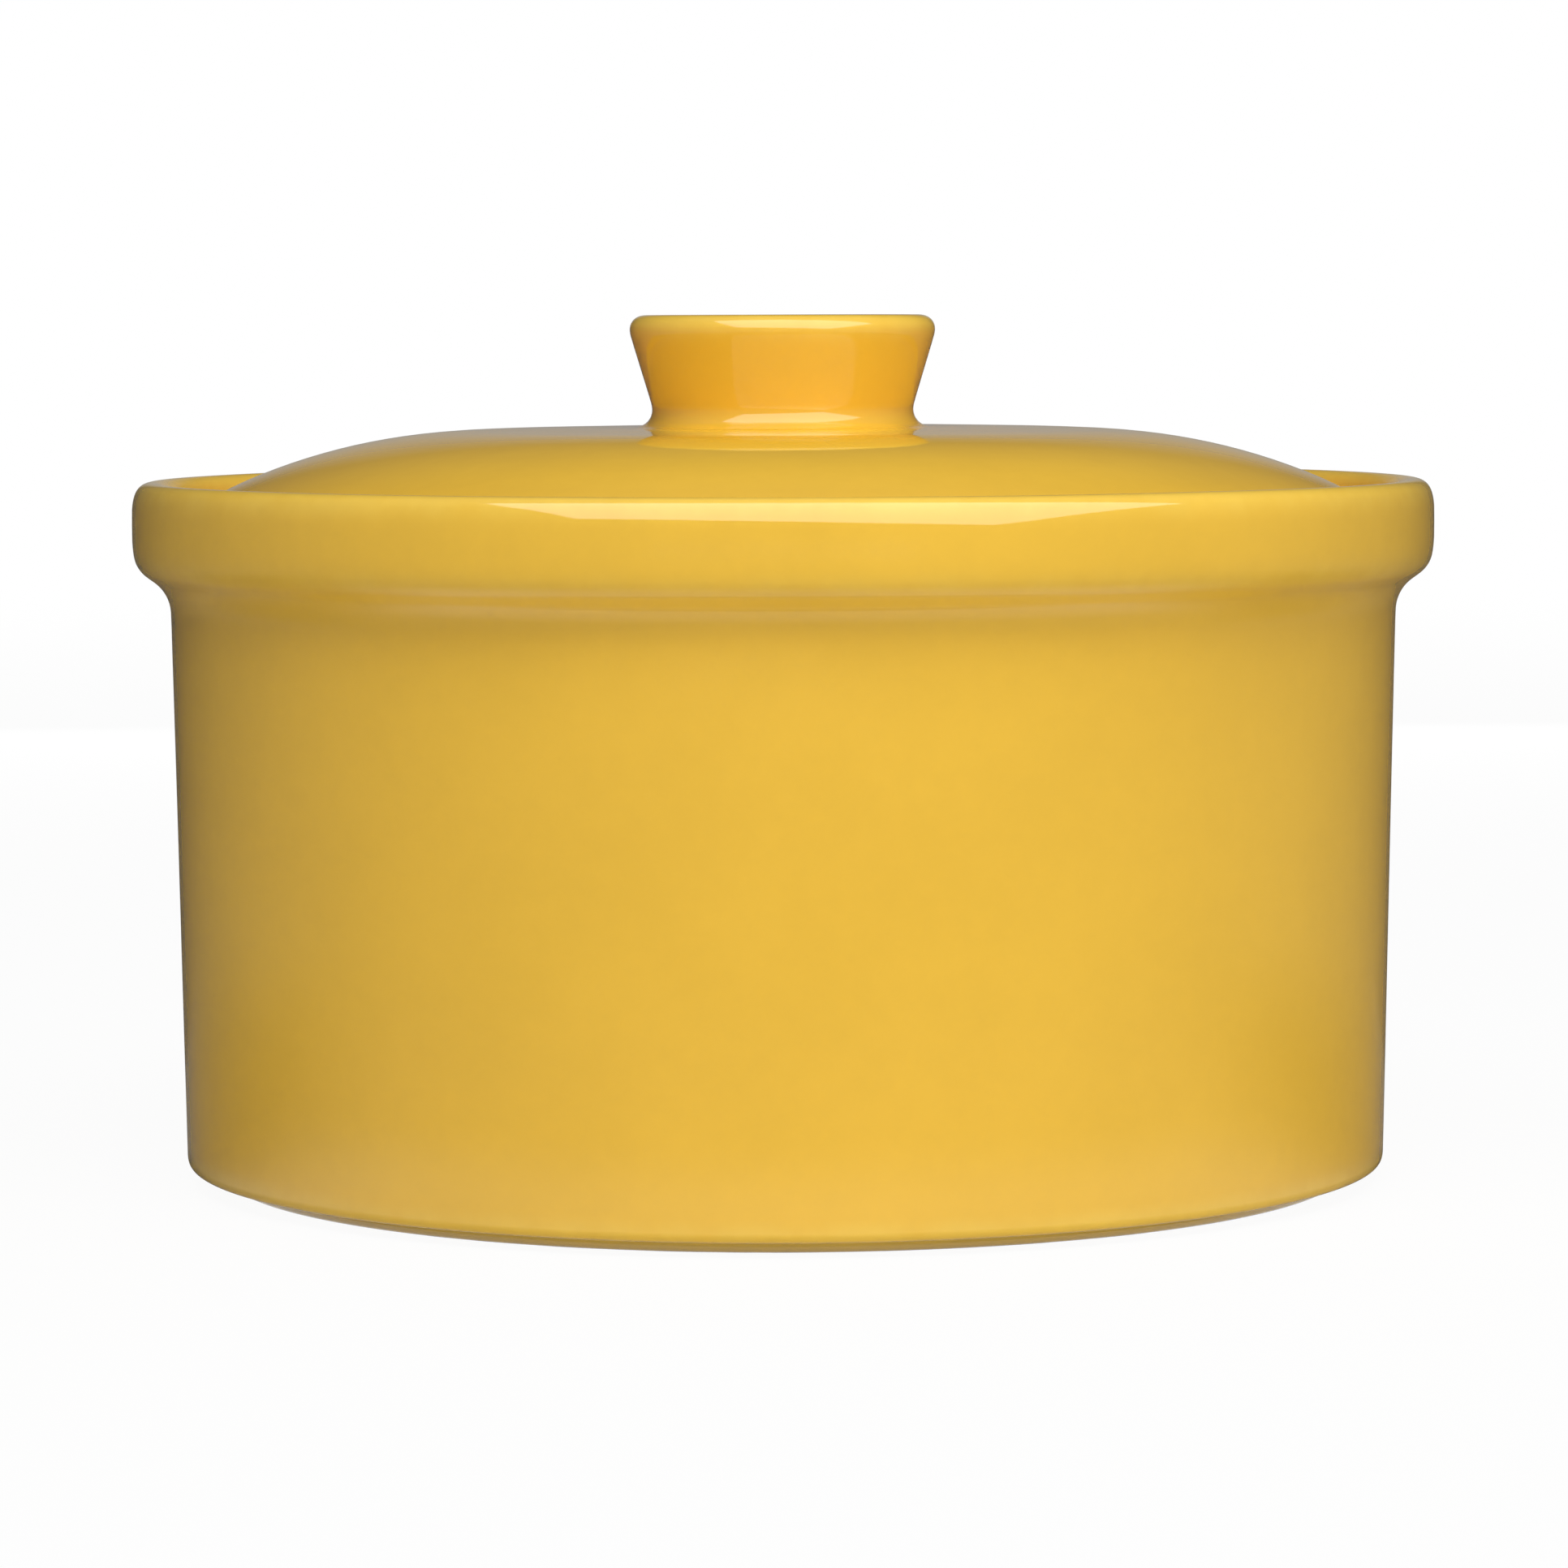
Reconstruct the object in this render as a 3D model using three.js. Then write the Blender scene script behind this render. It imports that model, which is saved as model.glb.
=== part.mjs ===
// Round ceramic casserole: a straight-sided pot whose rim is a stepped collar, and a domed lid
// that drops inside the collar and rests on the ledge there. The lid's flared knob is formed in
// one piece with it and is hollow from below, so that the clay is about equally thick all over.
// Millimetres, +Z up. The origin is at the centre of the face that the pot stands on.
import * as THREE from "three";

// Pot
const rimDiameter = 210; // across the widest line of the collar
const potHeight = 112.8; // standing face to the crest of the rim
const wallThickness = 6; // body and collar
const floorThickness = 5.6; // clay under the cooking space
const wallLean = 1.1; // degrees that the body narrows towards the foot
const innerCornerRound = 12; // between the floor and the wall
const outerCornerRound = 2; // between the wall and the underside

// Collar, which widens the rim so that the lid fits inside it
const collarStep = 6.05; // how far the collar stands out from the body, and the ledge's width
const ledgeDepth = 11.3; // crest to the ledge that carries the lid
const bandBelowLedge = 2.7; // ledge to the lower edge of the band round the collar
const collarUnderFall = 3.6; // height of the slope from the band back to the body
const bandEdgeInset = 0.55; // lower edge of the band, inward from its widest line
const bandEdgeRise = 3.7; // lower edge of the band up to its upright middle
const shoulderFall = 3.75; // crest down to the upright middle of the band
const crestInset = 0.95; // outer edge of the crest, inward from the band's widest line
const bandRound = 22;
const bandEdgeRound = 4.7;
const coveRound = 6.6; // between the slope and the body
const shoulderRound = 15.5;
const crestRound = 2.4;
const ledgeInnerRound = 1.5;
const ledgeOuterRound = 1;

// Foot ring under the pot
const footInset = 6; // standing face's outer edge, inward from the wall
const footWidth = 5;
const footHeight = 2.2;
const footFlare = 0.4; // how much wider the ring is at its root, on each side
const footRound = 0.5;

// Lid
const lidClearance = 1.2; // between the lid's edge and the collar, all round
const seatClearance = 0.3; // between the lid's bearing ring and the ledge
const lidThickness = 5.6;
const lidEdgeHeight = 5.5; // bearing face to the upper edge of the rim
const domeRise = 13.9; // upper edge of the rim to the crown at the knob's foot
const crownDiameter = 102; // the nearly flat top that the knob stands on
const crownFall = 0.45; // how much lower the crown is at its edge than at the knob's foot
const bearingInset = 0.6; // bearing ring's inside, outward from the edge of the ledge
const bearingHeight = 2; // how far the bearing ring stands down from the dome
const lidEdgeRound = 2;
const bearingRound = 0.8;

// Knob on the lid
const knobTopDiameter = 51.2; // where its flank would meet its top, before rounding
const knobFootDiameter = 40.2; // where its flank would meet the crown, before rounding
const knobHeight = 18.1; // crown to the knob's top
const knobWall = 6;
const knobTopRound = 2.3;
const knobFootRound = 2.8;
const hollowRound = 3;
const hollowMouthRound = 4;

// How finely the round forms are cut into flat faces
const facetsAround = 64;
const facetDepth = 0.08; // deepest that a flat may cut into a true arc of an outline

const glazeColour = 0xeabc45;
const glazeRoughness = 0.1;

// Sizes that follow from those above
const rimRadius = rimDiameter / 2;
const collarInnerRadius = rimRadius - wallThickness;
const bodyTopRadius = rimRadius - collarStep;
const ledgeHeight = potHeight - ledgeDepth;
const bandBottom = ledgeHeight - bandBelowLedge;
const coveHeight = bandBottom - collarUnderFall;
const wallSlope = Math.tan(THREE.MathUtils.degToRad(wallLean));
const bodyRadiusAt = (height) => bodyTopRadius - (coveHeight - height) * wallSlope;
const boreRadiusAt = (height) => bodyRadiusAt(height) - wallThickness;

// Number of flats that an arc of an outline is cut into.
function arcSteps(arcRadius, turn) {
  const widestStep = 2 * Math.acos(1 - facetDepth / Math.max(arcRadius, facetDepth));
  return Math.ceil(turn / widestStep);
}

// How much of a side a corner's arc may take, where the arc at the side's other end wants some.
function sharedReach(sideLength, wanted, wantedByOther) {
  const most = (sideLength * wanted) / (wanted + wantedByOther);
  return Math.min(wanted, most);
}

// Points of the arc that is tangent to the side arriving at a corner and to the side leaving it,
// which turns by the given angle there. It starts and ends at that reach from the corner.
function tangentArc(corner, arriving, turn, reach) {
  const forward = arriving.clone().normalize();
  const leftward = new THREE.Vector2(-forward.y, forward.x);
  const arcRadius = reach / Math.tan(turn / 2);
  const start = corner.clone().addScaledVector(forward, -reach);
  const centre = start.clone().addScaledVector(leftward, arcRadius);
  const steps = arcSteps(Math.abs(arcRadius), Math.abs(turn));
  return Array.from({ length: steps + 1 }, (_, step) =>
    start.clone().rotateAround(centre, (turn * step) / steps),
  );
}

// An outline is a list of [radius, height, round] corners, and each corner with a round becomes a
// tangent arc.
function roundedOutline(corners) {
  const places = corners.map(([radius, height]) => new THREE.Vector2(radius, height));
  const sides = places.slice(1).map((place, index) => place.clone().sub(places[index]));
  const turns = places.map((_, index) => {
    const [arriving, leaving] = [sides[index - 1], sides[index]];
    return arriving && leaving ? Math.atan2(arriving.cross(leaving), arriving.dot(leaving)) : 0;
  });
  const reaches = corners.map(
    ([, , round = 0], index) => round * Math.tan(Math.abs(turns[index]) / 2),
  );
  return places.flatMap((place, index) => {
    const wanted = reaches[index];
    if (wanted === 0) {
      return [place];
    }
    const arriving = sides[index - 1];
    const leaving = sides[index];
    const reach = Math.min(
      sharedReach(arriving.length(), wanted, reaches[index - 1]),
      sharedReach(leaving.length(), wanted, reaches[index + 1]),
    );
    return tangentArc(place, arriving, turns[index], reach);
  });
}

// Points of an arc that falls from one [radius, height] place to another further out, with the
// end point itself left out. It sets off level, or at the slope given in radians.
function domeArc([startRadius, startHeight], [endRadius, endHeight], startSlope = 0) {
  const run = endRadius - startRadius;
  const fall = startHeight - endHeight;
  const sweep = 2 * (Math.atan2(fall, run) - startSlope);
  const arcRadius = Math.hypot(run, fall) / (2 * Math.sin(sweep / 2));
  const steps = arcSteps(arcRadius, sweep);
  return Array.from({ length: steps }, (_, step) => {
    const slope = startSlope + (sweep * step) / steps;
    const radius = startRadius + arcRadius * (Math.sin(slope) - Math.sin(startSlope));
    const height = startHeight - arcRadius * (Math.cos(startSlope) - Math.cos(slope));
    return [radius, height];
  });
}

// A piece turned about the Z axis from an outline that starts and ends on that axis.
function turnedPiece(name, corners) {
  const geometry = new THREE.LatheGeometry(roundedOutline(corners), facetsAround);
  geometry.rotateX(Math.PI / 2);
  const glaze = new THREE.MeshStandardMaterial({
    color: glazeColour,
    roughness: glazeRoughness,
    metalness: 0,
  });
  const mesh = new THREE.Mesh(geometry, glaze);
  mesh.name = name;
  return mesh;
}

// The pot, from the middle of its underside out round the foot, up the wall and the collar, over
// the crest and down inside past the ledge to the middle of the floor.
function makePot() {
  const shoulderRadius = bodyRadiusAt(footHeight);
  const footRadius = shoulderRadius - footInset;
  const footInnerRadius = footRadius - footWidth;
  const floorHeight = footHeight + floorThickness;
  return turnedPiece("pot", [
    [0, footHeight],
    [footInnerRadius - footFlare, footHeight, footRound],
    [footInnerRadius, 0, footRound],
    [footRadius, 0, footRound],
    [footRadius + footFlare, footHeight, footRound],
    [shoulderRadius, footHeight, outerCornerRound],
    [bodyTopRadius, coveHeight, coveRound],
    [rimRadius - bandEdgeInset, bandBottom, bandEdgeRound],
    [rimRadius, bandBottom + bandEdgeRise, bandRound],
    [rimRadius, potHeight - shoulderFall, shoulderRound],
    [rimRadius - crestInset, potHeight, crestRound],
    [collarInnerRadius, potHeight, crestRound],
    [collarInnerRadius, ledgeHeight, ledgeOuterRound],
    [boreRadiusAt(ledgeHeight), ledgeHeight, ledgeInnerRound],
    [boreRadiusAt(floorHeight), floorHeight, innerCornerRound],
    [0, floorHeight],
  ]);
}

// The lid, from the top of the hollow inside its knob down and out along the underside, round
// the bearing ring and the edge, and back over the dome and the knob.
function makeLid() {
  const lidRadius = collarInnerRadius - lidClearance;
  const bearingFace = ledgeHeight + seatClearance;
  const bearingTop = bearingFace + bearingHeight;
  const bearingInnerRadius = boreRadiusAt(ledgeHeight) + bearingInset;
  const edgeTop = bearingFace + lidEdgeHeight;
  const crownHeight = edgeTop + domeRise;
  const crownEdge = [crownDiameter / 2, crownHeight - crownFall];
  const underside = crownHeight - lidThickness;

  const knobTop = crownHeight + knobHeight;
  const knobTopRadius = knobTopDiameter / 2;
  const knobFootRadius = knobFootDiameter / 2;
  const knobFoot = [knobFootRadius, crownHeight];
  const crownEdgeSlope = 2 * Math.atan2(crownFall, crownEdge[0] - knobFootRadius);
  const flankSlope = (knobTopRadius - knobFootRadius) / knobHeight;
  const flankWall = knobWall * Math.hypot(1, flankSlope);
  const hollowTop = knobTop - knobWall;
  const hollowRadiusAt = (height) =>
    knobFootRadius + (height - crownHeight) * flankSlope - flankWall;

  return turnedPiece("lid", [
    [0, hollowTop],
    [hollowRadiusAt(hollowTop), hollowTop, hollowRound],
    [hollowRadiusAt(underside), underside, hollowMouthRound],
    ...domeArc([crownEdge[0], underside], [bearingInnerRadius, bearingTop]),
    [bearingInnerRadius, bearingTop],
    [bearingInnerRadius, bearingFace, bearingRound],
    [lidRadius, bearingFace, bearingRound],
    [lidRadius, edgeTop, lidEdgeRound],
    ...domeArc(crownEdge, [lidRadius, edgeTop], crownEdgeSlope).reverse(),
    ...domeArc(knobFoot, crownEdge).slice(1).reverse(),
    [...knobFoot, knobFootRound],
    [knobTopRadius, knobTop, knobTopRound],
    [0, knobTop],
  ]);
}

const casserole = new THREE.Group();
casserole.add(makePot(), makeLid());

export default casserole;
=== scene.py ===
# Glazed ceramic casserole: fine turned surfaces for the pot and its lid, their glaze, and a plain
# studio with the camera. Outlines are written in millimetres, everything in the scene is in metres.
import math

import bpy
import numpy as np
from mathutils import Euler, Matrix, Vector, noise


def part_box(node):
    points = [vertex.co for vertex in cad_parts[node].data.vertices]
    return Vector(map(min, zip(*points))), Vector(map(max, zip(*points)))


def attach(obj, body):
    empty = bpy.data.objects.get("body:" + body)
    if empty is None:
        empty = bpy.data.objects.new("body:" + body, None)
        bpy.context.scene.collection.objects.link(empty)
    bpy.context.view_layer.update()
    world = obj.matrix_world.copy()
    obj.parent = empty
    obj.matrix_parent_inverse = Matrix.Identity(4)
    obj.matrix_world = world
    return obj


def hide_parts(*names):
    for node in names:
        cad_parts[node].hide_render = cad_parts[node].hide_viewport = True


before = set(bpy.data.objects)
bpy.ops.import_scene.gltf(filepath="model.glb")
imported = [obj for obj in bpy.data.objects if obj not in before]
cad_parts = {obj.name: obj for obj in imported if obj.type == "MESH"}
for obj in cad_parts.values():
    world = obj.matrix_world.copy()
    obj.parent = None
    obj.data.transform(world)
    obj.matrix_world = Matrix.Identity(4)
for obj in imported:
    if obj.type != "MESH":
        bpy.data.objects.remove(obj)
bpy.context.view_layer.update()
print("frame loaded, nodes:", ", ".join(sorted(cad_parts)))

mm = 0.001


# Outlines

outlining = {
    "turnStep": 3.0,        # degrees that an outline may turn between two points
    "longestStep": 2.5,     # mm between two points
    "softness": 0.7,        # mm over which the fired glaze evens out changes of curvature
    "fineStep": 0.1,        # mm between points while they are evened out
    "blurReach": 4.0,       # how many times the softness the evening out reaches
    "flowLength": 1.8,      # mm over which glaze thins at an edge or pools in a hollow
}


# length of an outline from its start to each of its points
def lengthsAlong(points):
    steps = np.linalg.norm(np.diff(points, axis=0), axis=1)
    return np.concatenate([[0], np.cumsum(steps)])


# direction of each stretch of an outline, in radians and without jumps
def headings(points):
    steps = np.diff(points, axis=0)
    return np.unwrap(np.arctan2(steps[:, 1], steps[:, 0]))


def sharedReach(sideLength, wanted, wantedByOther):
    return min(wanted, sideLength * wanted / (wanted + wantedByOther))


def tangentArc(corner, arriving, turn, reach):
    forward = arriving / np.linalg.norm(arriving)
    leftward = np.array([-forward[1], forward[0]])
    arcRadius = reach / math.tan(turn / 2)
    start = corner - forward * reach
    centre = start + leftward * arcRadius
    spoke = start - centre
    steps = max(2, math.ceil(math.degrees(abs(turn))))
    points = []
    for step in range(steps + 1):
        angle = turn * step / steps
        cosine, sine = math.cos(angle), math.sin(angle)
        points.append(centre + [
            spoke[0] * cosine - spoke[1] * sine,
            spoke[0] * sine + spoke[1] * cosine,
        ])
    return points


# arc that falls from start to end, which is left out, setting off level or at a slope in radians
def domeArc(start, end, startSlope=0.0):
    run, fall = end[0] - start[0], start[1] - end[1]
    sweep = 2 * (math.atan2(fall, run) - startSlope)
    arcRadius = math.hypot(run, fall) / (2 * math.sin(sweep / 2))
    steps = max(2, math.ceil(math.degrees(sweep)))
    slopes = [startSlope + sweep * step / steps for step in range(steps)]
    return [
        (start[0] + arcRadius * (math.sin(slope) - math.sin(startSlope)),
         start[1] - arcRadius * (math.cos(startSlope) - math.cos(slope)))
        for slope in slopes
    ]


# the outline in fine even steps, blurred along its length with both ends kept in place
def softened(points):
    softness, fineStep = outlining["softness"], outlining["fineStep"]
    along = lengthsAlong(points)
    places = np.linspace(0, along[-1], math.ceil(along[-1] / fineStep) + 1)
    even = np.stack([np.interp(places, along, points[:, axis]) for axis in (0, 1)], axis=1)
    reach = math.ceil(outlining["blurReach"] * softness / fineStep)
    offsets = np.arange(-reach, reach + 1) * fineStep
    weights = np.exp(-0.5 * (offsets / softness) ** 2)
    weights /= weights.sum()
    before = 2 * even[0] - even[reach:0:-1]
    after = 2 * even[-1] - even[-2:-reach - 2:-1]
    padded = np.concatenate([before, even, after])
    return np.stack([np.convolve(padded[:, axis], weights, "valid") for axis in (0, 1)], axis=1)


# only as many points as the bends of the outline need
def thinned(points):
    along, heading = lengthsAlong(points), headings(points)
    kept, turned, lastKept = [points[0]], 0.0, 0
    for index in range(1, len(points) - 1):
        turned += abs(heading[index] - heading[index - 1])
        walked = along[index] - along[lastKept]
        if turned > math.radians(outlining["turnStep"]) or walked > outlining["longestStep"]:
            kept.append(points[index])
            turned, lastKept = 0.0, index
    kept.append(points[-1])
    return np.array(kept)


# corners are (radius, height) or (radius, height, round), walked with the clay on the left
def roundedOutline(corners):
    places = [np.array(corner[:2], float) for corner in corners]
    sides = [after - before for before, after in zip(places, places[1:])]
    turns = [0.0]
    for arriving, leaving in zip(sides, sides[1:]):
        cross = arriving[0] * leaving[1] - arriving[1] * leaving[0]
        turns.append(math.atan2(cross, arriving @ leaving))
    turns.append(0.0)
    rounds = [corner[2] if len(corner) > 2 else 0.0 for corner in corners]
    reaches = [size * math.tan(abs(turn) / 2) for size, turn in zip(rounds, turns)]
    points = []
    for index, place in enumerate(places):
        if reaches[index] == 0:
            points.append(place)
            continue
        arriving, leaving = sides[index - 1], sides[index]
        reach = min(
            sharedReach(np.linalg.norm(arriving), reaches[index], reaches[index - 1]),
            sharedReach(np.linalg.norm(leaving), reaches[index], reaches[index + 1]),
        )
        points += tangentArc(place, arriving, turns[index], reach)
    return thinned(softened(np.array(points)))


# bend of an outline in 1/mm, spread along it as far as glaze flows: edges positive, hollows negative
def spreadBend(outline):
    along, flow = lengthsAlong(outline), outlining["flowLength"]
    turns = np.concatenate([[0], np.diff(headings(outline)), [0]])
    weights = np.exp(-0.5 * ((along[:, None] - along[None, :]) / flow) ** 2)
    return weights @ turns / (flow * math.sqrt(2 * math.pi))


def outwardNormals(outline):
    along = np.gradient(outline, axis=0)
    along /= np.linalg.norm(along, axis=1)[:, None]
    return np.stack([along[:, 1], -along[:, 0]], axis=1)


# Turned surfaces

turning = {
    "segments": 256,        # flats round the axis
    "warp": 0.06,           # mm, slow waviness left by casting and drying
    "warpSize": 38.0,
    "ripple": 0.008,        # mm, finer unevenness of the fired glaze
    "rippleSize": 9.0,
    "trueBelow": 1.0,       # mm above the resting face that stay flat and true
    "wavyAbove": 8.0,
}


# waviness along the surface at a place in mm, nothing at the face that the piece rests on
def unevenness(place, heightAboveRest):
    low, high = turning["trueBelow"], turning["wavyAbove"]
    share = min(1.0, max(0.0, (heightAboveRest - low) / (high - low)))
    slow = turning["warp"] * noise.noise(place / turning["warpSize"])
    fine = turning["ripple"] * noise.noise(place / turning["rippleSize"])
    return share * (slow + fine)


# faces between neighbouring rings of points
def ringFaces(rings, segments):
    faces = []
    for ring in range(rings - 1):
        this, other = ring * segments, (ring + 1) * segments
        for flat in range(segments):
            after = (flat + 1) % segments
            faces.append((this + flat, this + after, other + after, other + flat))
    return faces


# the corners of a turned piece's faces on its unrolled surface, as (flats turned, outline point)
def unrolledCorners(rings, segments):
    corners = []
    for flat in range(segments):
        corners += [(flat + 0.5, 0), (flat + 1, 1), (flat, 1)]
    for ring in range(1, rings):
        for flat in range(segments):
            corners += [(flat, ring), (flat + 1, ring), (flat + 1, ring + 1), (flat, ring + 1)]
    for flat in range(segments):
        corners += [(flat, rings), (flat + 1, rings), (flat + 0.5, rings + 1)]
    return corners


# one piece turned about the Z axis from an outline that starts and ends on it
def turnedPiece(name, outline, body, node):
    segments, rings = turning["segments"], len(outline) - 2
    normals, bends = outwardNormals(outline), spreadBend(outline)
    restHeight = outline[:, 1].min()
    verts, edgeBend = [], []
    for (radius, height), (outward, upward), bend in zip(outline[1:-1], normals[1:-1], bends[1:-1]):
        for flat in range(segments):
            spin = 2 * math.pi * flat / segments
            cosine, sine = math.cos(spin), math.sin(spin)
            push = unevenness(Vector((radius * cosine, radius * sine, height)), height - restHeight)
            reach = radius + outward * push
            verts.append((reach * cosine * mm, reach * sine * mm, (height + upward * push) * mm))
            edgeBend.append(bend)
    firstPole, lastPole, lastRing = len(verts), len(verts) + 1, (rings - 1) * segments
    for end in (0, -1):
        verts.append((0.0, 0.0, outline[end, 1] * mm))
        edgeBend.append(0.0)
    neighbours = [(flat, (flat + 1) % segments) for flat in range(segments)]
    faces = [(firstPole, after, flat) for flat, after in neighbours]
    faces += ringFaces(rings, segments)
    faces += [(lastRing + flat, lastRing + after, lastPole) for flat, after in neighbours]

    mesh = bpy.data.meshes.new(name)
    mesh.from_pydata(verts, [], faces)
    mesh.polygons.foreach_set("use_smooth", [True] * len(faces))
    mesh.attributes.new("edgeBend", "FLOAT", "POINT").data.foreach_set("value", edgeBend)
    along = lengthsAlong(outline)
    unrolled = [(turn / segments, along[point] / along[-1])
                for turn, point in unrolledCorners(rings, segments)]
    mesh.uv_layers.new(name="OFBake").data.foreach_set("uv", np.array(unrolled).ravel())
    mesh.validate()
    mesh.update()

    piece = bpy.data.objects.new(name, mesh)
    bpy.context.scene.collection.objects.link(piece)
    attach(piece, body)
    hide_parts(node)
    print(f"{name}: {len(outline)} outline points, {len(faces)} faces")
    return piece


# Pot, from the middle of its underside round the foot, up the wall and the collar, over the crest
# and down inside past the ledge to the middle of the floor. Sizes are in mm, before softening

potShape = {
    "wall": 6.0,            # body and collar
    "floor": 5.6,
    "lean": 1.1,            # degrees that the body narrows towards the foot
    "innerCornerRound": 12.0,
    "outerCornerRound": 1.2,
    "collarStep": 6.05,     # how far the collar stands out from the body
    "ledgeDepth": 11.3,     # crest to the ledge that carries the lid
    "bandBelowLedge": 2.7,  # ledge to the lower edge of the band round the collar
    "collarUnderFall": 3.6,     # height of the slope from the band back to the body
    "bandEdgeInset": 0.55,
    "bandEdgeRise": 3.7,    # lower edge of the band up to its upright middle
    "shoulderFall": 3.28,   # crest down to the upright middle of the band
    "crestInset": 1.06,
    "bandRound": 22.0,
    "bandEdgeRound": 4.7,
    "coveRound": 6.6,
    "shoulderRound": 9.8,
    "crestRound": 2.65,
    "ledgeInnerRound": 1.5,
    "ledgeOuterRound": 1.0,
    "footInset": 6.0,       # from the wall to the standing face
    "footWidth": 5.0,
    "footHeight": 2.2,
    "footFlare": 0.4,       # how much wider the ring is at its root, on each side
    "footRound": 0.5,
}
potLow, potHigh = (Vector(corner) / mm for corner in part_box("pot"))
rimRadius, potHeight = potHigh.x, potHigh.z
collarInnerRadius = rimRadius - potShape["wall"]
bodyTopRadius = rimRadius - potShape["collarStep"]
ledgeHeight = potHeight - potShape["ledgeDepth"]
bandBottom = ledgeHeight - potShape["bandBelowLedge"]
coveHeight = bandBottom - potShape["collarUnderFall"]


def bodyRadiusAt(height):
    return bodyTopRadius - (coveHeight - height) * math.tan(math.radians(potShape["lean"]))


def boreRadiusAt(height):
    return bodyRadiusAt(height) - potShape["wall"]


def potOutline():
    shape = potShape
    footHeight = shape["footHeight"]
    floorHeight = footHeight + shape["floor"]
    shoulderRadius = bodyRadiusAt(footHeight)
    footRadius = shoulderRadius - shape["footInset"]
    footInnerRadius = footRadius - shape["footWidth"]
    return roundedOutline([
        (0, footHeight),
        (footInnerRadius - shape["footFlare"], footHeight, shape["footRound"]),
        (footInnerRadius, 0, shape["footRound"]),
        (footRadius, 0, shape["footRound"]),
        (footRadius + shape["footFlare"], footHeight, shape["footRound"]),
        (shoulderRadius, footHeight, shape["outerCornerRound"]),
        (bodyTopRadius, coveHeight, shape["coveRound"]),
        (rimRadius - shape["bandEdgeInset"], bandBottom, shape["bandEdgeRound"]),
        (rimRadius, bandBottom + shape["bandEdgeRise"], shape["bandRound"]),
        (rimRadius, potHeight - shape["shoulderFall"], shape["shoulderRound"]),
        (rimRadius - shape["crestInset"], potHeight, shape["crestRound"]),
        (collarInnerRadius, potHeight, shape["crestRound"]),
        (collarInnerRadius, ledgeHeight, shape["ledgeOuterRound"]),
        (boreRadiusAt(ledgeHeight), ledgeHeight, shape["ledgeInnerRound"]),
        (boreRadiusAt(floorHeight), floorHeight, shape["innerCornerRound"]),
        (0, floorHeight),
    ])


# Lid, from the top of the hollow in its knob out along the underside, round the bearing ring and
# the edge, and back over the dome and the knob. Sizes are in mm, before softening

lidShape = {
    "thickness": 5.6,
    "edgeHeight": 5.5,      # bearing face to the upper edge of the rim
    "crownRadius": 51.0,
    "crownFall": 0.45,      # from the knob's foot to the crown's edge
    "bearingInset": 0.6,    # outward from the inner edge of the ledge
    "bearingHeight": 2.0,   # how far the bearing ring stands down from the dome
    "edgeRound": 2.0,
    "bearingRound": 0.8,
    "knobTopRadius": 25.6,  # where the flank would meet the top and the crown, before rounding
    "knobFootRadius": 20.1,
    "knobHeight": 18.1,
    "knobWall": 6.0,
    "knobTopRound": 2.3,
    "knobFootRound": 2.8,
    "hollowRound": 3.0,
    "hollowMouthRound": 4.0,
}
lidLow, lidHigh = (Vector(corner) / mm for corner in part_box("lid"))


def lidOutline():
    shape = lidShape
    lidRadius, bearingFace, knobTop = lidHigh.x, lidLow.z, lidHigh.z
    bearingTop = bearingFace + shape["bearingHeight"]
    bearingInnerRadius = boreRadiusAt(ledgeHeight) + shape["bearingInset"]
    edgeTop = bearingFace + shape["edgeHeight"]
    crownHeight = knobTop - shape["knobHeight"]
    underside = crownHeight - shape["thickness"]
    flankSlope = (shape["knobTopRadius"] - shape["knobFootRadius"]) / shape["knobHeight"]
    flankWall = shape["knobWall"] * math.hypot(1, flankSlope)
    hollowTop = knobTop - shape["knobWall"]

    def hollowRadiusAt(height):
        return shape["knobFootRadius"] + (height - crownHeight) * flankSlope - flankWall

    knobFoot = (shape["knobFootRadius"], crownHeight)
    crownEdge = (shape["crownRadius"], crownHeight - shape["crownFall"])
    crownSlope = 2 * math.atan2(shape["crownFall"], shape["crownRadius"] - shape["knobFootRadius"])
    crownAbove = domeArc(knobFoot, crownEdge)[1:]
    domeAbove = domeArc(crownEdge, (lidRadius, edgeTop), crownSlope)
    domeBelow = domeArc((shape["crownRadius"], underside), (bearingInnerRadius, bearingTop))
    return roundedOutline([
        (0, hollowTop),
        (hollowRadiusAt(hollowTop), hollowTop, shape["hollowRound"]),
        (hollowRadiusAt(underside), underside, shape["hollowMouthRound"]),
        *domeBelow,
        (bearingInnerRadius, bearingTop),
        (bearingInnerRadius, bearingFace, shape["bearingRound"]),
        (lidRadius, bearingFace, shape["bearingRound"]),
        (lidRadius, edgeTop, shape["edgeRound"]),
        *reversed(domeAbove),
        *reversed(crownAbove),
        (*knobFoot, shape["knobFootRound"]),
        (shape["knobTopRadius"], knobTop, shape["knobTopRound"]),
        (0, knobTop),
    ])


# Node helpers

floatSocket, vectorSocket, colourSocket = "NodeSocketFloat", "NodeSocketVector", "NodeSocketColor"
white = (1, 1, 1, 1)


def addNode(tree, kind, inputs=None, **settings):
    node = tree.nodes.new(kind)
    for name, value in settings.items():
        setattr(node, name, value)
    for name, value in (inputs or {}).items():
        if isinstance(value, bpy.types.NodeSocket):
            tree.links.new(value, node.inputs[name])
        else:
            node.inputs[name].default_value = value
    return node


# the Mix node keeps its sockets for values and for colours at different places
def mixValue(tree, factor, first, second):
    return addNode(tree, "ShaderNodeMix", {0: factor, 2: first, 3: second}).outputs[0]


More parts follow.
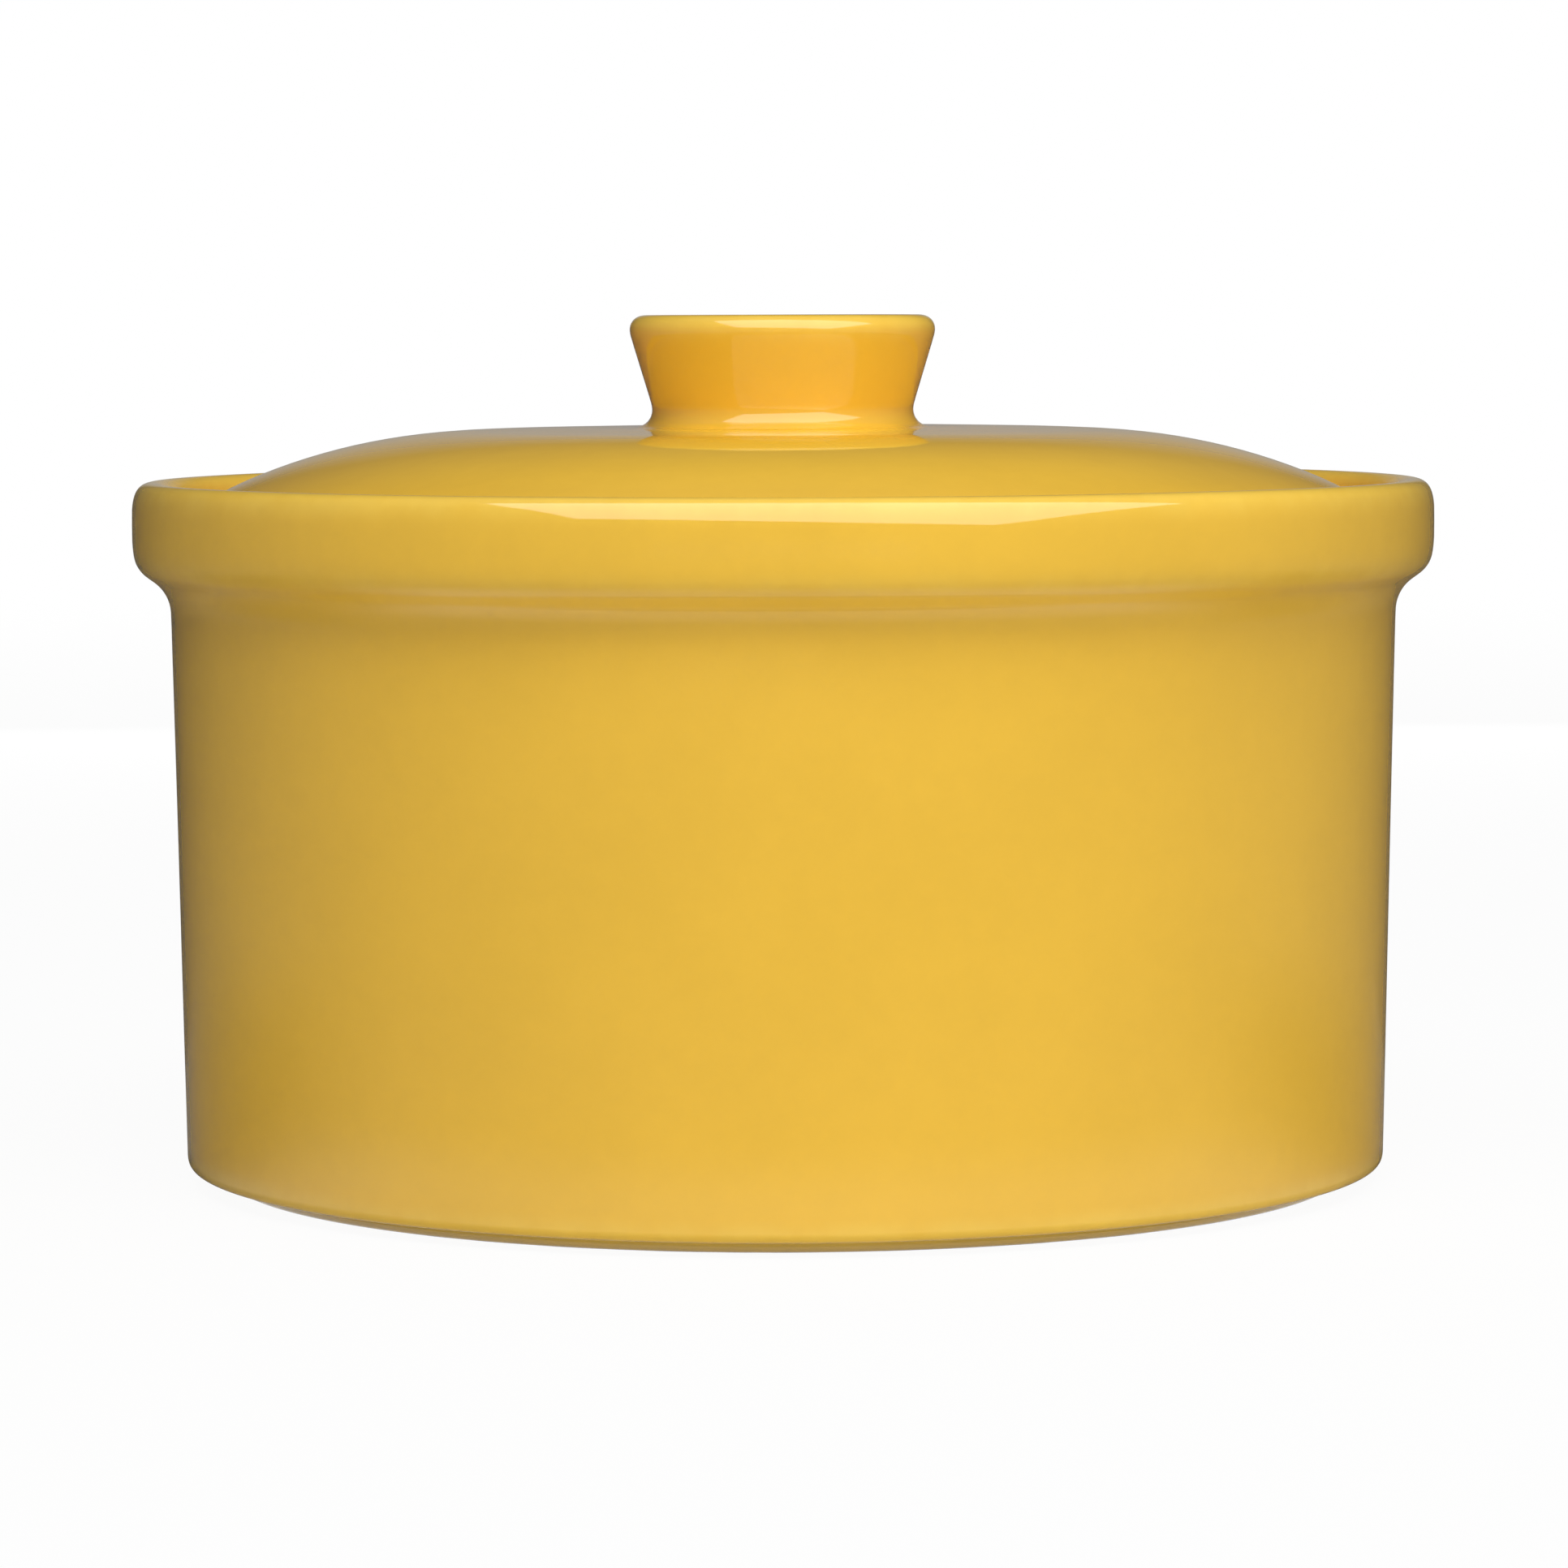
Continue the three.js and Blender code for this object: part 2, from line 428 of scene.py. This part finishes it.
def mixColour(tree, factor, first, second):
    return addNode(tree, "ShaderNodeMix", {0: factor, 6: first, 7: second}, data_type="RGBA").outputs[2]


def maths(tree, operation, first, second=0):
    return addNode(tree, "ShaderNodeMath", {0: first, 1: second}, operation=operation).outputs[0]


def ramped(tree, value, fromLow, fromHigh, toLow, toHigh):
    return addNode(tree, "ShaderNodeMapRange", {
        "Value": value, "From Min": fromLow, "From Max": fromHigh, "To Min": toLow, "To Max": toHigh,
    }, interpolation_type="SMOOTHSTEP").outputs["Result"]


# cloudy noise with patches of a size in mm
def patches(tree, place, size, detail, roughness=0.5):
    return addNode(tree, "ShaderNodeTexNoise", {
        "Vector": place, "Scale": 1 / (size * mm), "Detail": detail, "Roughness": roughness,
    }).outputs["Fac"]


# two values added up, the first with a share and the second with the rest
def blended(tree, share, first, second):
    return maths(tree, "ADD", maths(tree, "MULTIPLY", first, share),
                 maths(tree, "MULTIPLY", second, 1 - share))


# inputs are (name, kind, value), outputs are (name, kind)
def newGroup(name, inputs, outputs):
    tree = bpy.data.node_groups.new(name, "ShaderNodeTree")
    for socketName, kind, value in inputs:
        socket = tree.interface.new_socket(socketName, in_out="INPUT", socket_type=kind)
        if value is not None:
            socket.default_value = value
    for socketName, kind in outputs:
        tree.interface.new_socket(socketName, in_out="OUTPUT", socket_type=kind)
    return tree, addNode(tree, "NodeGroupInput").outputs, addNode(tree, "NodeGroupOutput").inputs


def placeGroup(tree, group, inputs):
    return addNode(tree, "ShaderNodeGroup", inputs, node_tree=group).outputs


def newMaterial(name):
    material = bpy.data.materials.new(name)
    material.use_nodes = True
    material.node_tree.nodes.clear()
    return material, material.node_tree


# Glaze effects, shared by the pot's and the lid's material. Their sizes are in mm, and a span is
# the stretch of a noise that counts

clouding = {
    "broadSize": 24.0,
    "closeSize": 3.5,
    "broadShare": 0.65,
    "span": (0.3, 0.7),
}


# faint clouding of the fired glaze: Tone is about 1, Cloud is 0 to 1
def makeCloudingGroup():
    tree, given, made = newGroup("glazeClouding", [
        ("Place", vectorSocket, None),
        ("Depth", floatSocket, 0.02),
    ], [("Tone", floatSocket), ("Cloud", floatSocket)])
    broad = patches(tree, given["Place"], clouding["broadSize"], detail=2)
    close = patches(tree, given["Place"], clouding["closeSize"], detail=3, roughness=0.6)
    both = blended(tree, clouding["broadShare"], broad, close)
    cloud = ramped(tree, both, *clouding["span"], 0, 1)
    swing = maths(tree, "MULTIPLY", maths(tree, "SUBTRACT", cloud, 0.5), given["Depth"])
    tree.links.new(maths(tree, "ADD", swing, 1), made["Tone"])
    tree.links.new(cloud, made["Cloud"])
    return tree


flowing = {
    "waverSize": 7.0,
    "waverSpan": (0.25, 0.75),
    "waver": (0.75, 1.25),          # an edge counts as blunter or sharper than it is
    "thinBends": (0.05, 0.36),      # 1/mm, from no thinning to the most
    "pooledBends": (-0.03, -0.25),
}


# molten glaze draws thin over edges and gathers in hollows
def makeFlowGroup():
    tree, given, made = newGroup("glazeFlow", [
        ("Place", vectorSocket, None),
        ("Bend", floatSocket, 0.0),
    ], [("Thin", floatSocket), ("Pooled", floatSocket)])
    drift = patches(tree, given["Place"], flowing["waverSize"], detail=2)
    waver = ramped(tree, drift, *flowing["waverSpan"], *flowing["waver"])
    bend = maths(tree, "MULTIPLY", given["Bend"], waver)
    tree.links.new(ramped(tree, bend, *flowing["thinBends"], 0, 1), made["Thin"])
    tree.links.new(ramped(tree, bend, *flowing["pooledBends"], 0, 1), made["Pooled"])
    return tree


peelSkin = {
    "swellSize": 5.0,
    "peelSize": 1.6,
    "swellShare": 0.75,
    "pinholeSpacing": 11.0,
    "pinholeRadius": (0.012, 0.02),     # floor and rim of a pinhole, as shares of the spacing
    "pinholeDepth": 0.35,
}


# the slight orange-peel skin of the glaze, with a few pinholes: Height is 0 to 1
def makePeelGroup():
    tree, given, made = newGroup("orangePeel", [("Place", vectorSocket, None)], [("Height", floatSocket)])
    swell = patches(tree, given["Place"], peelSkin["swellSize"], detail=1)
    peel = patches(tree, given["Place"], peelSkin["peelSize"], detail=1)
    skin = blended(tree, peelSkin["swellShare"], swell, peel)
    cells = addNode(tree, "ShaderNodeTexVoronoi", {
        "Vector": given["Place"], "Scale": 1 / (peelSkin["pinholeSpacing"] * mm),
    })
    pinhole = ramped(tree, cells.outputs["Distance"], *peelSkin["pinholeRadius"],
                     peelSkin["pinholeDepth"], 0)
    tree.links.new(maths(tree, "SUBTRACT", skin, pinhole), made["Height"])
    return tree


wipedRing = {
    "waverSize": 6.0,
    "waverSpan": (0.3, 0.7),
    "lineHeight": (0.06, 0.168),    # where the glaze ends above the resting face
    "lineBlur": (0.9, 1.1),         # shares of that height over which it ends
    "paintedLightFringe": (1.4, 2.4),           # height over which the paler colour on the foot ends, painted light on the shaded ring
    "grainSize": 0.6,
    "grainSpan": (0.35, 0.7),
    "paleClay": (0.69, 0.57, 0.42, 1),
    "darkClay": (0.50, 0.38, 0.26, 1),
}


# the ring that is wiped clean of glaze before firing: Bare is 0 or 1 with a wavering line between,
# the fringe is 1 on the foot and fades out above it, painted light that pales the glaze where the ring
# sits in shade
def makeBareRingGroup():
    tree, given, made = newGroup("bareRing", [
        ("Place", vectorSocket, None),
        ("Rest Height", floatSocket, 0.0),
    ], [("Bare", floatSocket), ("PaintedLightFringe", floatSocket), ("Clay", colourSocket), ("Grain", floatSocket)])
    height = addNode(tree, "ShaderNodeSeparateXYZ", {0: given["Place"]}).outputs["Z"]
    above = maths(tree, "DIVIDE", maths(tree, "SUBTRACT", height, given["Rest Height"]), mm)
    drift = patches(tree, given["Place"], wipedRing["waverSize"], detail=3)
    line = ramped(tree, drift, *wipedRing["waverSpan"], *wipedRing["lineHeight"])
    share = maths(tree, "DIVIDE", above, line)
    tree.links.new(ramped(tree, share, *wipedRing["lineBlur"], 1, 0), made["Bare"])
    tree.links.new(ramped(tree, above, *wipedRing["paintedLightFringe"], 1, 0), made["PaintedLightFringe"])
    grain = patches(tree, given["Place"], wipedRing["grainSize"], detail=4, roughness=0.7)
    tree.links.new(grain, made["Grain"])
    speckle = ramped(tree, grain, *wipedRing["grainSpan"], 0, 1)
    tree.links.new(mixColour(tree, speckle, wipedRing["paleClay"], wipedRing["darkClay"]), made["Clay"])
    return tree


effects = {
    "clouding": makeCloudingGroup(),
    "flow": makeFlowGroup(),
    "peel": makePeelGroup(),
    "bareRing": makeBareRingGroup(),
}
print("glaze effects made:", ", ".join(effects))

glaze = {
    "honey": (0.785, 0.469, 0.039, 1),
    "thin": (0.83, 0.57, 0.085, 1),
    "pooled": (0.71, 0.39, 0.03, 1),
    "thinShare": 0.5,
    "pooledShare": 0.15,
    "clouding": 0.045,
    "gloss": (0.045, 0.075),            # roughness of the glaze
    "ior": 1.6,
    "peelHeight": 0.006,                # mm
    "glazeThickness": 0.25,             # mm that the glaze stands above bare clay
    "clayRoughness": (0.78, 0.92),
    "clayGrainSpan": (0.3, 0.7),
    "clayGrainHeight": 0.5,             # share of the glaze's thickness
}


def glazeMaterial(name, restHeight):
    material, tree = newMaterial(name)
    place = addNode(tree, "ShaderNodeTexCoord").outputs["Object"]
    bend = addNode(tree, "ShaderNodeAttribute", attribute_name="edgeBend").outputs["Fac"]
    cloud = placeGroup(tree, effects["clouding"], {"Place": place, "Depth": glaze["clouding"]})
    flow = placeGroup(tree, effects["flow"], {"Place": place, "Bend": bend})
    peel = placeGroup(tree, effects["peel"], {"Place": place})
    ring = placeGroup(tree, effects["bareRing"], {"Place": place, "Rest Height": restHeight})

    thinOnEdges = maths(tree, "MULTIPLY", flow["Thin"], glaze["thinShare"])
    # the fringe gives the foot ring the thin glaze's paler colour, painted light where the ring sits in
    # shade
    thin = maths(tree, "MAXIMUM", thinOnEdges, ring["PaintedLightFringe"])
    colour = mixColour(tree, thin, glaze["honey"], glaze["thin"])
    deep = maths(tree, "MULTIPLY", flow["Pooled"], glaze["pooledShare"])
    colour = mixColour(tree, deep, colour, glaze["pooled"])
    clouded = addNode(tree, "ShaderNodeHueSaturation", {"Value": cloud["Tone"], "Color": colour})
    colour = mixColour(tree, ring["Bare"], clouded.outputs["Color"], ring["Clay"])

    gloss = ramped(tree, cloud["Cloud"], 0, 1, *glaze["gloss"])
    clayRoughness = ramped(tree, ring["Grain"], *glaze["clayGrainSpan"], *glaze["clayRoughness"])
    roughness = mixValue(tree, ring["Bare"], gloss, clayRoughness)

    skin = addNode(tree, "ShaderNodeBump", {
        "Distance": glaze["peelHeight"] * mm, "Height": peel["Height"],
    })
    clayGrain = maths(tree, "MULTIPLY", ring["Grain"], ring["Bare"])
    step = maths(tree, "ADD", maths(tree, "SUBTRACT", 1, ring["Bare"]),
                 maths(tree, "MULTIPLY", clayGrain, glaze["clayGrainHeight"]))
    edge = addNode(tree, "ShaderNodeBump", {
        "Distance": glaze["glazeThickness"] * mm, "Height": step, "Normal": skin.outputs["Normal"],
    })
    shader = addNode(tree, "ShaderNodeBsdfPrincipled", {
        "Base Color": colour, "Roughness": roughness, "IOR": glaze["ior"],
        "Normal": edge.outputs["Normal"],
    })
    addNode(tree, "ShaderNodeOutputMaterial", {"Surface": shader.outputs["BSDF"]})
    return material


pot = turnedPiece("glazed_pot", potOutline(), "pot", "pot")
pot.data.materials.append(glazeMaterial("potGlaze", potLow.z * mm))
lid = turnedPiece("glazed_lid", lidOutline(), "lid", "lid")
lid.data.materials.append(glazeMaterial("lidGlaze", lidLow.z * mm))
print("pot and lid glazed")


# Studio

def studioObject(name, verts, faces, material):
    mesh = bpy.data.meshes.new(name)
    mesh.from_pydata(verts, [], faces)
    mesh.materials.append(material)
    thing = bpy.data.objects.new(name, mesh)
    bpy.context.scene.collection.objects.link(thing)
    return thing


# 1 for rays that show the background itself, 0 for the light that it sheds
def seenDirectly(tree):
    path = addNode(tree, "ShaderNodeLightPath").outputs
    straight = maths(tree, "MAXIMUM", path["Is Camera Ray"], path["Is Glossy Ray"])
    return maths(tree, "MAXIMUM", straight, path["Is Transmission Ray"])


floorLook = {
    "halfSize": 8.0,
    "colour": (0.7, 0.7, 0.69, 1),
    "whiteNear": 0.95,      # share of plain white by the object, where its shadow falls
    "nearRadius": 0.45,
    "farRadius": 2.2,       # all white from here on, so that the floor meets the background
}


def makeFloor():
    look = floorLook
    material, tree = newMaterial("paleFloor")
    place = addNode(tree, "ShaderNodeTexCoord").outputs["Object"]
    distance = addNode(tree, "ShaderNodeVectorMath", {0: place}, operation="LENGTH").outputs["Value"]
    whiteShare = ramped(tree, distance, look["nearRadius"], look["farRadius"], look["whiteNear"], 1)
    matt = addNode(tree, "ShaderNodeBsdfDiffuse", {"Color": look["colour"]})
    plain = addNode(tree, "ShaderNodeEmission", {"Color": white, "Strength": 1.0})
    mixed = addNode(tree, "ShaderNodeMixShader", {
        0: maths(tree, "MULTIPLY", whiteShare, seenDirectly(tree)),
        1: matt.outputs["BSDF"],
        2: plain.outputs["Emission"],
    })
    addNode(tree, "ShaderNodeOutputMaterial", {"Surface": mixed.outputs["Shader"]})
    half = look["halfSize"]
    corners = [(-half, -half, 0), (half, -half, 0), (half, half, 0), (-half, half, 0)]
    studioObject("floor", corners, [(0, 1, 2, 3)], material)


worldLook = {"ambient": (0.012, 0.012, 0.012, 1)}


def makeWorld():
    world = bpy.data.worlds.new("studio")
    bpy.context.scene.world = world
    world.use_nodes = True
    tree = world.node_tree
    tree.nodes.clear()
    dim = addNode(tree, "ShaderNodeBackground", {"Color": worldLook["ambient"], "Strength": 1.0})
    plain = addNode(tree, "ShaderNodeBackground", {"Color": white, "Strength": 1.0})
    mixed = addNode(tree, "ShaderNodeMixShader", {
        0: seenDirectly(tree), 1: dim.outputs["Background"], 2: plain.outputs["Background"],
    })
    addNode(tree, "ShaderNodeOutputWorld", {"Surface": mixed.outputs["Shader"]})


# painted reflection: a glowing bowl, seen only in the glaze's reflections and lighting nothing, shows
# what the glaze
# mirrors besides the window: dim behind the object and paler in front and overhead, and the floor inside
# it. Ranges of turn are in degrees off the back
surround = {
    "radius": 2.6,
    "segments": 96,
    "rings": 24,
    "innerRadius": 0.0918,          # just clear of the foot ring
    "flatRadius": 0.6,
    "lift": 0.0005,                 # above the floor
    "backTone": 0.075,
    "frontTone": 0.36,
    "turnRange": (21.0, 100.0),
    "topTone": 0.45,
    "topRange": (35.0, 85.0),       # degrees above the floor
    "glowTone": 0.31,               # dull light low behind
    "glowStart": (0.022, 0.077),    # heights over which it begins and ends
    "glowEnd": (0.293, 1.16),
    "glowWidth": (8.0, 15.0),
    "tableTone": (0.09, 0.15, 0.42),     # the floor about the pot: behind, beside and in front of it, darkest behind as a painted shadow of the pot
    # where the painted shadow of the pot behind it gives way to the floor beside it, in degrees off the
    # back
    "potShadowEdge": (41.0, 48.0),
    "tableFront": (85.0, 125.0),
    "tableRadius": (0.2, 0.45),
    "tableHeight": (0.001, 0.002),
    "nearLightTone": 0.42,               # painted light: the floor is paler close in front
    "nearFront": (95.0, 130.0),
    "nearRadius": (0.13, 0.2),
    "contactShadowTone": 0.35,            # painted contact shadow: the floor is dimmer close to the foot
    "contactShadowRadius": (0.098, 0.108),
}


def bowlTone(tree, offBack, elevation, height):
    look = surround
    tone = ramped(tree, offBack, *look["turnRange"], look["backTone"], look["frontTone"])
    glow = maths(tree, "MULTIPLY", ramped(tree, height, *look["glowStart"], 0, 1),
                 ramped(tree, height, *look["glowEnd"], 1, 0))
    glow = maths(tree, "MULTIPLY", glow, ramped(tree, offBack, *look["glowWidth"], look["glowTone"], 0))
    topShare = ramped(tree, elevation, *look["topRange"], 0, 1)
    return mixValue(tree, topShare, maths(tree, "MAXIMUM", tone, glow), look["topTone"])


# the mirrored floor's tone: a painted shadow of the pot behind it, painted light close in front and a
# painted contact shadow at the foot
def tableTone(tree, offBack, reach):
    look = surround
    behind, beside, before = look["tableTone"]
    table = maths(tree, "ADD", ramped(tree, offBack, *look["potShadowEdge"], behind, beside),
                  ramped(tree, offBack, *look["tableFront"], 0, before - beside))
    nearLight = maths(tree, "MULTIPLY", ramped(tree, offBack, *look["nearFront"], 0, look["nearLightTone"]),
                 ramped(tree, reach, *look["nearRadius"], 1, 0))
    contactShadow = ramped(tree, reach, *look["contactShadowRadius"], look["contactShadowTone"], 1)
    return maths(tree, "MULTIPLY", maths(tree, "ADD", table, nearLight), contactShadow)


def surroundMaterial():
    material, tree = newMaterial("surround")
    place = addNode(tree, "ShaderNodeTexCoord").outputs["Object"]
    x, y, height = addNode(tree, "ShaderNodeSeparateXYZ", {0: place}).outputs
    squares = maths(tree, "ADD", maths(tree, "MULTIPLY", x, x), maths(tree, "MULTIPLY", y, y))
    reach = maths(tree, "SQRT", squares)
    offBack = maths(tree, "DEGREES", maths(tree, "ARCTAN2", maths(tree, "ABSOLUTE", x), y))
    elevation = maths(tree, "DEGREES", maths(tree, "ARCTAN2", height, reach))
    onTable = maths(tree, "MULTIPLY", ramped(tree, reach, *surround["tableRadius"], 1, 0),
                    ramped(tree, height, *surround["tableHeight"], 1, 0))
    tone = mixValue(tree, onTable, bowlTone(tree, offBack, elevation, height),
                    tableTone(tree, offBack, reach))
    # the bowl glows with its tone, a painted reflection
    glowing = addNode(tree, "ShaderNodeEmission", {"Color": tone, "Strength": 1.0})
    addNode(tree, "ShaderNodeOutputMaterial", {"Surface": glowing.outputs["Emission"]})
    return material


def makeSurround():
    segments, rings = surround["segments"], surround["rings"]
    radius, lift = surround["radius"], surround["lift"]
    profile = [(surround["innerRadius"], lift), (surround["flatRadius"], lift)]
    for ring in range(rings + 1):
        rise = math.radians(90 * ring / rings)
        profile.append((radius * math.cos(rise), lift + radius * math.sin(rise)))
    verts = []
    for reach, height in profile:
        for flat in range(segments):
            spin = 2 * math.pi * flat / segments
            verts.append((reach * math.sin(spin), reach * math.cos(spin), height))
    bowl = studioObject("surround", verts, ringFaces(len(profile), segments), surroundMaterial())
    for kind in ("camera", "diffuse", "transmission", "volume_scatter", "shadow"):
        setattr(bowl, "visible_" + kind, False)


# the window is only mirrored by the glaze, with its lower edge far out and its upper edge nearly
# overhead; the other panels only light the object
panels = {
    "window": {
        "halfWidth": 0.95,
        "lowerEdge": (1.3329, 0.2686),      # distance from the axis and height above the rim
        "upperEdge": (0.1529, 0.9866),
        "turn": 11.5,                       # degrees round the axis from the front, to the right
        "roll": 18.0,                       # degrees that its left end is raised
        "radiance": 2.95,
        "mirrored": True,
    },
    "high_panel": {
        "halfWidth": 0.5,
        "lowerEdge": (0.85, 0.75),
        "upperEdge": (0.35, 1.05),
        "turn": 0.0,
        "roll": 0.0,
        "radiance": 6.45,
        "mirrored": False,
    },
    "low_panel": {
        "halfWidth": 0.45,
        "lowerEdge": (1.1, -0.112),
        "upperEdge": (1.1, -0.03),
        "turn": 0.0,
        "roll": 0.0,
        "radiance": 12.0,
        "mirrored": False,
    },
    "right_panel": {
        "halfWidth": 0.5,
        "lowerEdge": (1.2, 0.1),
        "upperEdge": (0.95, 0.7),
        "turn": 60.0,
        "roll": 0.0,
        "radiance": 1.35,
        "mirrored": False,
    },
    "top_panel": {
        "halfWidth": 0.6,
        "lowerEdge": (0.8, 0.7),
        "upperEdge": (0.2, 1.1),
        "turn": 106.0,
        "roll": 0.0,
        "radiance": 0.75,
        "mirrored": False,
    },
    "back_panel": {
        "halfWidth": 0.35,
        "lowerEdge": (1.1, -0.08),
        "upperEdge": (1.1, 0.3),
        "turn": 180.0,
        "roll": 0.0,
        "radiance": 4.5,
        "mirrored": False,
    },
}


def makePanel(name, panel):
    low, high = (Vector((0, -distance, potHeight * mm + height))
                 for distance, height in (panel["lowerEdge"], panel["upperEdge"]))
    sideways, upward = Vector((1, 0, 0)), (high - low).normalized()
    axes = Matrix((sideways, upward, sideways.cross(upward))).transposed().to_4x4()
    turn = Matrix.Rotation(math.radians(panel["turn"]), 4, "Z")
    roll = Matrix.Rotation(math.radians(-panel["roll"]), 4, "Z")
    width, height = 2 * panel["halfWidth"], (high - low).length
    light = bpy.data.lights.new(name, "AREA")
    light.shape = "RECTANGLE"
    light.size, light.size_y = width, height
    light.energy = panel["radiance"] * math.pi * width * height
    lamp = bpy.data.objects.new(name, light)
    lamp.matrix_world = turn @ Matrix.Translation((low + high) / 2) @ axes @ roll
    lamp.visible_camera = False
    lamp.visible_diffuse = not panel["mirrored"]
    lamp.visible_glossy = panel["mirrored"]
    bpy.context.scene.collection.objects.link(lamp)


makeFloor()
makeWorld()
makeSurround()
for panelName, panelLook in panels.items():
    makePanel(panelName, panelLook)
print("studio lit by", ", ".join(panels))


# Camera, as the photograph was taken

photoView = {
    "imagePixels": 1932,
    "focalPixels": 7581,
    "sensorWidth": 36.0,    # mm
    "distance": 0.998,
    "height": 0.1389,
    "tilt": 4.34,           # degrees down
    "roll": -0.2,
    "clip": (0.05, 50.0),
}


def makeCamera():
    view = photoView
    camera = bpy.data.cameras.new("camera")
    camera.sensor_width = view["sensorWidth"]
    camera.lens = view["sensorWidth"] * view["focalPixels"] / view["imagePixels"]
    camera.clip_start, camera.clip_end = view["clip"]
    holder = bpy.data.objects.new("camera", camera)
    tilt = Euler((math.radians(90 - view["tilt"]), 0, 0)).to_matrix().to_4x4()
    roll = Matrix.Rotation(math.radians(view["roll"]), 4, "Z")
    holder.matrix_world = Matrix.Translation((0, -view["distance"], view["height"])) @ tilt @ roll
    bpy.context.scene.collection.objects.link(holder)
    bpy.context.scene.camera = holder


makeCamera()
bpy.context.scene.view_settings.view_transform = "Standard"
print("camera set")
